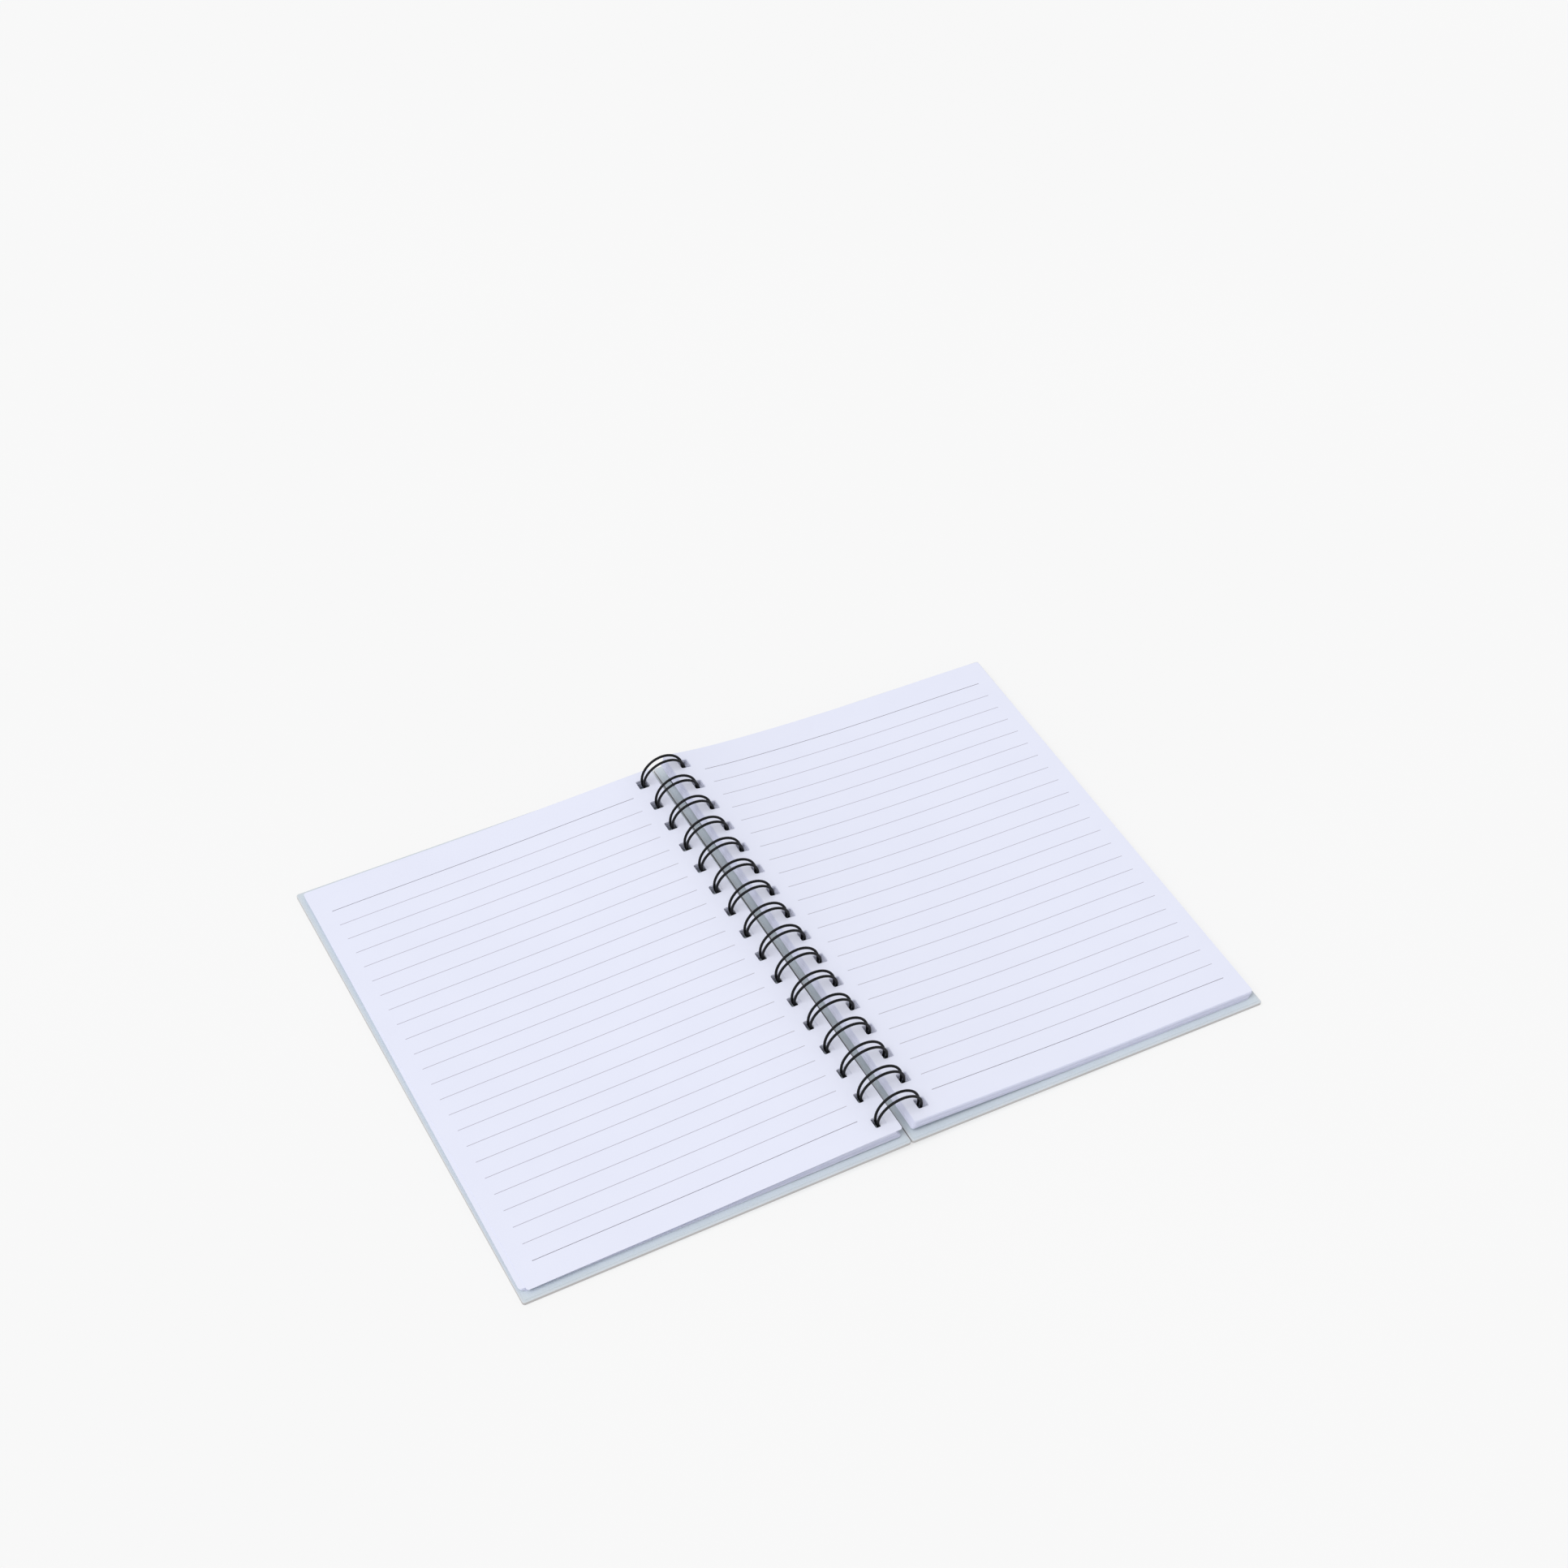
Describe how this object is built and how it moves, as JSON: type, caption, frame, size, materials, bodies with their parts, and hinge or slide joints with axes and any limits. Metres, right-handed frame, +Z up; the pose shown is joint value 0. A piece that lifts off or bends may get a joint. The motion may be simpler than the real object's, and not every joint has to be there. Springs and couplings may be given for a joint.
{
  "type": "wire-bound notebook",
  "caption": "Open twin-loop wire-bound notebook with stiff board covers and lined leaves that turn on the loops, for writing notes.",
  "frame": {"origin": "on the table, under the middle of the binding wire", "axes": "+X to the right across the open spread, +Y up the page along the wire, +Z up"},
  "size_m": [0.3064, 0.211, 0.019],
  "materials": {
    "wire": "satin",
    "board": "matte",
    "cover_paper": "satin",
    "lining_paper": "matte",
    "ruled_paper": "matte"
  },
  "bodies": {
    "binding": {"binding_wire": "wire"},
    "front_cover": {"front_cover_board": "board", "front_cover_wrap": "cover_paper", "front_cover_lining": "lining_paper"},
    "left_lower_leaves": {"leaf_01": "ruled_paper", "leaf_02": "ruled_paper", "leaf_03": "ruled_paper", "leaf_04": "ruled_paper", "leaf_05": "ruled_paper", "leaf_06": "ruled_paper", "leaf_07": "ruled_paper"},
    "left_middle_leaves": {"leaf_08": "ruled_paper", "leaf_09": "ruled_paper", "leaf_10": "ruled_paper", "leaf_11": "ruled_paper", "leaf_12": "ruled_paper", "leaf_13": "ruled_paper"},
    "left_upper_leaves": {"leaf_14": "ruled_paper", "leaf_15": "ruled_paper", "leaf_16": "ruled_paper", "leaf_17": "ruled_paper", "leaf_18": "ruled_paper", "leaf_19": "ruled_paper"},
    "left_top_leaf": {"leaf_20": "ruled_paper"},
    "back_cover": {"back_cover_board": "board", "back_cover_wrap": "cover_paper", "back_cover_lining": "lining_paper"},
    "right_lower_leaves": {"leaf_42": "ruled_paper", "leaf_43": "ruled_paper", "leaf_44": "ruled_paper", "leaf_45": "ruled_paper", "leaf_46": "ruled_paper", "leaf_47": "ruled_paper", "leaf_48": "ruled_paper", "leaf_49": "ruled_paper", "leaf_50": "ruled_paper"},
    "right_middle_leaves": {"leaf_32": "ruled_paper", "leaf_33": "ruled_paper", "leaf_34": "ruled_paper", "leaf_35": "ruled_paper", "leaf_36": "ruled_paper", "leaf_37": "ruled_paper", "leaf_38": "ruled_paper", "leaf_39": "ruled_paper", "leaf_40": "ruled_paper", "leaf_41": "ruled_paper"},
    "right_upper_leaves": {"leaf_22": "ruled_paper", "leaf_23": "ruled_paper", "leaf_24": "ruled_paper", "leaf_25": "ruled_paper", "leaf_26": "ruled_paper", "leaf_27": "ruled_paper", "leaf_28": "ruled_paper", "leaf_29": "ruled_paper", "leaf_30": "ruled_paper", "leaf_31": "ruled_paper"},
    "right_top_leaf": {"leaf_21": "ruled_paper"}
  },
  "joints": [
    {"name": "front_cover_turn", "type": "hinge", "parent": "binding", "child": "front_cover", "pos_m": [0, 0, 0.0095], "axis": [0, 1, 0], "range_deg": [0, 180]},
    {"name": "left_lower_turn", "type": "hinge", "parent": "front_cover", "child": "left_lower_leaves", "pos_m": [0, 0, 0.0095], "axis": [0, 1, 0], "range_deg": [0, 180]},
    {"name": "left_middle_turn", "type": "hinge", "parent": "left_lower_leaves", "child": "left_middle_leaves", "pos_m": [0, 0, 0.0095], "axis": [0, 1, 0], "range_deg": [0, 180]},
    {"name": "left_upper_turn", "type": "hinge", "parent": "left_middle_leaves", "child": "left_upper_leaves", "pos_m": [0, 0, 0.0095], "axis": [0, 1, 0], "range_deg": [0, 180]},
    {"name": "left_top_leaf_turn", "type": "hinge", "parent": "left_upper_leaves", "child": "left_top_leaf", "pos_m": [0, 0, 0.0095], "axis": [0, 1, 0], "range_deg": [0, 180]},
    {"name": "back_cover_turn", "type": "hinge", "parent": "binding", "child": "back_cover", "pos_m": [0, 0, 0.0095], "axis": [0, -1, 0], "range_deg": [0, 180]},
    {"name": "right_lower_turn", "type": "hinge", "parent": "back_cover", "child": "right_lower_leaves", "pos_m": [0, 0, 0.0095], "axis": [0, -1, 0], "range_deg": [0, 180]},
    {"name": "right_middle_turn", "type": "hinge", "parent": "right_lower_leaves", "child": "right_middle_leaves", "pos_m": [0, 0, 0.0095], "axis": [0, -1, 0], "range_deg": [0, 180]},
    {"name": "right_upper_turn", "type": "hinge", "parent": "right_middle_leaves", "child": "right_upper_leaves", "pos_m": [0, 0, 0.0095], "axis": [0, -1, 0], "range_deg": [0, 180]},
    {"name": "right_top_leaf_turn", "type": "hinge", "parent": "right_upper_leaves", "child": "right_top_leaf", "pos_m": [0, 0, 0.0095], "axis": [0, -1, 0], "range_deg": [0, 180]}
  ]
}
